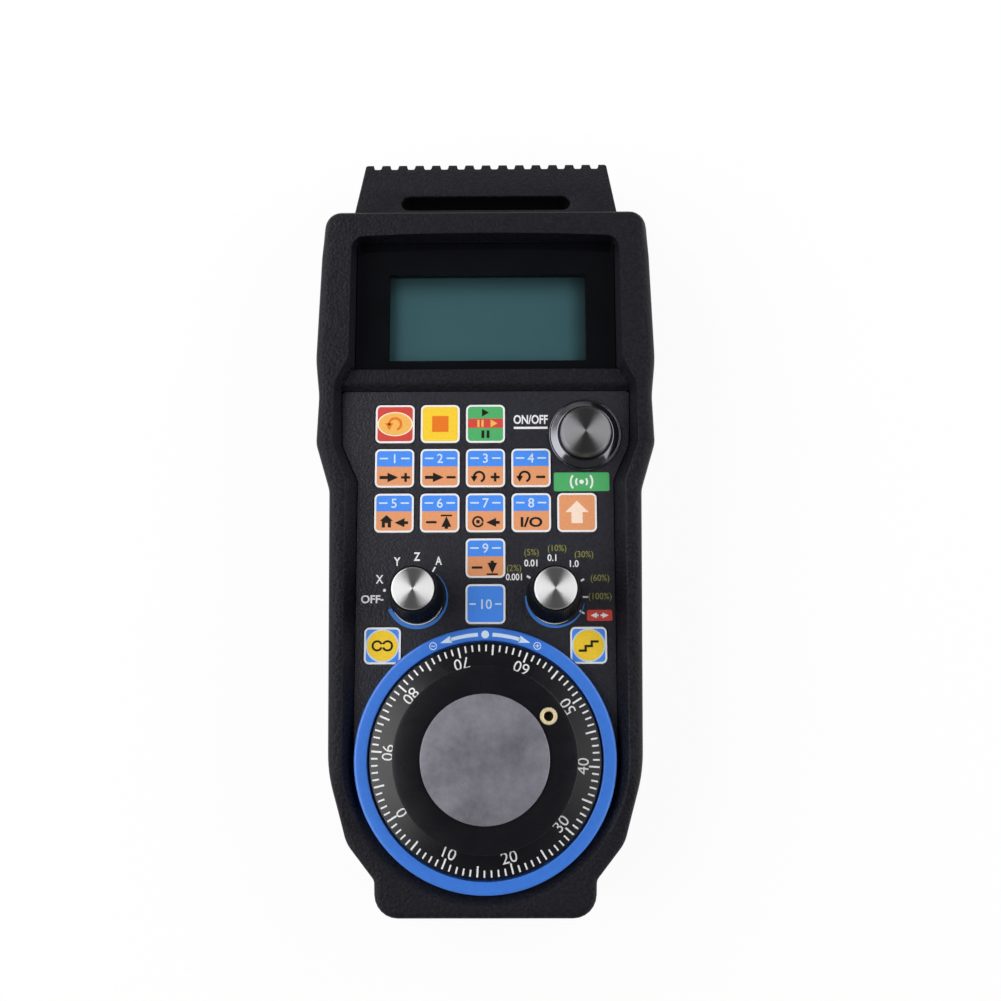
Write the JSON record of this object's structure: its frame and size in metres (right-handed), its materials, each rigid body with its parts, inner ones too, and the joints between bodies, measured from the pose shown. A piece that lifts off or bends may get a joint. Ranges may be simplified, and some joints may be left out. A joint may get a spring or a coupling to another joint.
{
  "type": "pulse generator handwheel",
  "caption": "Handheld wireless machine control pendant: graduated pulse handwheel, two rotary selectors, metal power button, membrane keys and display in a two-part black housing.",
  "frame": {"origin": "centre of the bounding box, on the flat back that it lies on", "axes": "+Z out of the front panel, +Y from the handwheel towards the display end, +X to the right as the panel is read"},
  "size_m": [0.0918, 0.207, 0.0429],
  "materials": {
    "housing_black": "moulded black ABS with a pebbled grain",
    "door_black": "moulded black ABS",
    "seal_rubber": "soft black rubber cord",
    "zinc_steel": "zinc-plated steel",
    "spring_steel": "bright spring steel",
    "nickel_contact": "nickel-plated spring steel",
    "cell_wrap": "printed shrink wrap over a steel can",
    "panel_film": "printed polyester film with a fine texture",
    "circuit_film": "clear polyester film with printed silver tracks",
    "key_red": "red printed film",
    "key_yellow": "yellow printed film",
    "key_green": "green printed film",
    "key_orange": "orange and blue printed film",
    "key_blue": "blue printed film",
    "window_acrylic": "clear acrylic with a black printed border",
    "lcd_tin": "black-coated pressed steel",
    "lcd_teal": "liquid crystal cell with a dim teal background",
    "board_green": "green solder resist on glass fibre board",
    "ribbon_white": "white flat cable",
    "switch_plastic": "black glass-filled nylon",
    "contact_plastic": "natural nylon",
    "shaft_steel": "turned steel",
    "knob_black": "knurled black phenolic",
    "spun_aluminium": "aluminium with fine turned circles",
    "bezel_chrome": "polished nickel-plated brass",
    "ring_blue": "satin blue paint on aluminium",
    "dial_black": "smooth black moulding with white printed marks",
    "hub_metal": "bead-blasted grey aluminium disc",
    "insert_brass": "knurled brass threaded insert",
    "bearing_steel": "ground bearing steel",
    "code_steel": "etched steel code disc"
  },
  "bodies": {
    "body": {"rear_housing": "housing_black", "front_housing": "housing_black", "housing_seal": "seal_rubber", "housing_screws": "zinc_steel", "battery_cells": "cell_wrap", "battery_contacts": "nickel_contact", "key_overlay": "panel_film", "key_circuit": "circuit_film", "key_domes": "spring_steel", "display_window": "window_acrylic", "lcd_frame": "lcd_tin", "lcd_glass": "lcd_teal", "lcd_board": "board_green", "display_ribbon": "ribbon_white", "main_board": "board_green", "board_screws": "zinc_steel", "radio_module": "board_green", "axis_switch": "switch_plastic", "step_switch": "switch_plastic", "selector_nuts": "zinc_steel", "power_bezel": "bezel_chrome", "power_nut": "zinc_steel", "power_spring": "spring_steel", "power_contacts": "contact_plastic", "wheel_ring": "ring_blue", "encoder_body": "switch_plastic", "encoder_screws": "zinc_steel", "wheel_bearings": "bearing_steel", "encoder_board": "board_green", "encoder_cable": "ribbon_white"},
    "handwheel": {"dial": "dial_black", "hub_disc": "hub_metal", "crank_insert": "insert_brass", "wheel_shaft": "shaft_steel", "code_wheel": "code_steel", "wheel_screw": "zinc_steel"},
    "axis_selector": {"axis_shaft": "shaft_steel", "axis_knob": "knob_black", "axis_cap": "spun_aluminium"},
    "step_selector": {"step_shaft": "shaft_steel", "step_knob": "knob_black", "step_cap": "spun_aluminium"},
    "power_button": {"power_cap": "spun_aluminium"},
    "battery_cover": {"battery_door": "door_black"},
    "reset_key": {"key_reset": "key_red"},
    "stop_key": {"key_stop": "key_yellow"},
    "start_key": {"key_start": "key_green"},
    "key_1_pad": {"key_1": "key_orange"},
    "key_2_pad": {"key_2": "key_orange"},
    "key_3_pad": {"key_3": "key_orange"},
    "key_4_pad": {"key_4": "key_orange"},
    "key_5_pad": {"key_5": "key_orange"},
    "key_6_pad": {"key_6": "key_orange"},
    "key_7_pad": {"key_7": "key_orange"},
    "key_8_pad": {"key_8": "key_orange"},
    "key_9_pad": {"key_9": "key_orange"},
    "key_10_pad": {"key_10": "key_blue"},
    "function_key": {"key_function": "key_orange"},
    "continuous_key": {"key_continuous": "key_yellow"},
    "step_key": {"key_step": "key_yellow"}
  },
  "joints": [
    {"name": "handwheel_turn", "type": "hinge", "parent": "body", "child": "handwheel", "pos_m": [0, -0.064, 0.028], "axis": [0, 0, 1], "continuous": true},
    {"name": "axis_selector_turn", "type": "hinge", "parent": "body", "child": "axis_selector", "pos_m": [-0.018, -0.0217, 0.028], "axis": [0, 0, 1], "range_deg": [-120, 0]},
    {"name": "step_selector_turn", "type": "hinge", "parent": "body", "child": "step_selector", "pos_m": [0.018, -0.0217, 0.028], "axis": [0, 0, 1], "range_deg": [-180, 0]},
    {"name": "power_button_press", "type": "slide", "parent": "body", "child": "power_button", "axis": [0, 0, -1], "range_m": [0, 0.002], "stiffness_N_per_m": 600, "springref_m": -0.002, "deforming": ["power_spring"]},
    {"name": "battery_cover_pull", "type": "slide", "parent": "body", "child": "battery_cover", "axis": [0, 0, -1], "range_m": [0, 0.015]},
    {"name": "reset_key_press", "type": "slide", "parent": "body", "child": "reset_key", "axis": [0, 0, -1], "range_m": [0, 0.00035], "stiffness_N_per_m": 800, "springref_m": -0.0005},
    {"name": "stop_key_press", "type": "slide", "parent": "body", "child": "stop_key", "axis": [0, 0, -1], "range_m": [0, 0.00035], "stiffness_N_per_m": 800, "springref_m": -0.0005},
    {"name": "start_key_press", "type": "slide", "parent": "body", "child": "start_key", "axis": [0, 0, -1], "range_m": [0, 0.00035], "stiffness_N_per_m": 800, "springref_m": -0.0005},
    {"name": "key_1_pad_press", "type": "slide", "parent": "body", "child": "key_1_pad", "axis": [0, 0, -1], "range_m": [0, 0.00035], "stiffness_N_per_m": 800, "springref_m": -0.0005},
    {"name": "key_2_pad_press", "type": "slide", "parent": "body", "child": "key_2_pad", "axis": [0, 0, -1], "range_m": [0, 0.00035], "stiffness_N_per_m": 800, "springref_m": -0.0005},
    {"name": "key_3_pad_press", "type": "slide", "parent": "body", "child": "key_3_pad", "axis": [0, 0, -1], "range_m": [0, 0.00035], "stiffness_N_per_m": 800, "springref_m": -0.0005},
    {"name": "key_4_pad_press", "type": "slide", "parent": "body", "child": "key_4_pad", "axis": [0, 0, -1], "range_m": [0, 0.00035], "stiffness_N_per_m": 800, "springref_m": -0.0005},
    {"name": "key_5_pad_press", "type": "slide", "parent": "body", "child": "key_5_pad", "axis": [0, 0, -1], "range_m": [0, 0.00035], "stiffness_N_per_m": 800, "springref_m": -0.0005},
    {"name": "key_6_pad_press", "type": "slide", "parent": "body", "child": "key_6_pad", "axis": [0, 0, -1], "range_m": [0, 0.00035], "stiffness_N_per_m": 800, "springref_m": -0.0005},
    {"name": "key_7_pad_press", "type": "slide", "parent": "body", "child": "key_7_pad", "axis": [0, 0, -1], "range_m": [0, 0.00035], "stiffness_N_per_m": 800, "springref_m": -0.0005},
    {"name": "key_8_pad_press", "type": "slide", "parent": "body", "child": "key_8_pad", "axis": [0, 0, -1], "range_m": [0, 0.00035], "stiffness_N_per_m": 800, "springref_m": -0.0005},
    {"name": "key_9_pad_press", "type": "slide", "parent": "body", "child": "key_9_pad", "axis": [0, 0, -1], "range_m": [0, 0.00035], "stiffness_N_per_m": 800, "springref_m": -0.0005},
    {"name": "key_10_pad_press", "type": "slide", "parent": "body", "child": "key_10_pad", "axis": [0, 0, -1], "range_m": [0, 0.00035], "stiffness_N_per_m": 800, "springref_m": -0.0005},
    {"name": "function_key_press", "type": "slide", "parent": "body", "child": "function_key", "axis": [0, 0, -1], "range_m": [0, 0.00035], "stiffness_N_per_m": 800, "springref_m": -0.0005},
    {"name": "continuous_key_press", "type": "slide", "parent": "body", "child": "continuous_key", "axis": [0, 0, -1], "range_m": [0, 0.00035], "stiffness_N_per_m": 800, "springref_m": -0.0005},
    {"name": "step_key_press", "type": "slide", "parent": "body", "child": "step_key", "axis": [0, 0, -1], "range_m": [0, 0.00035], "stiffness_N_per_m": 800, "springref_m": -0.0005}
  ]
}
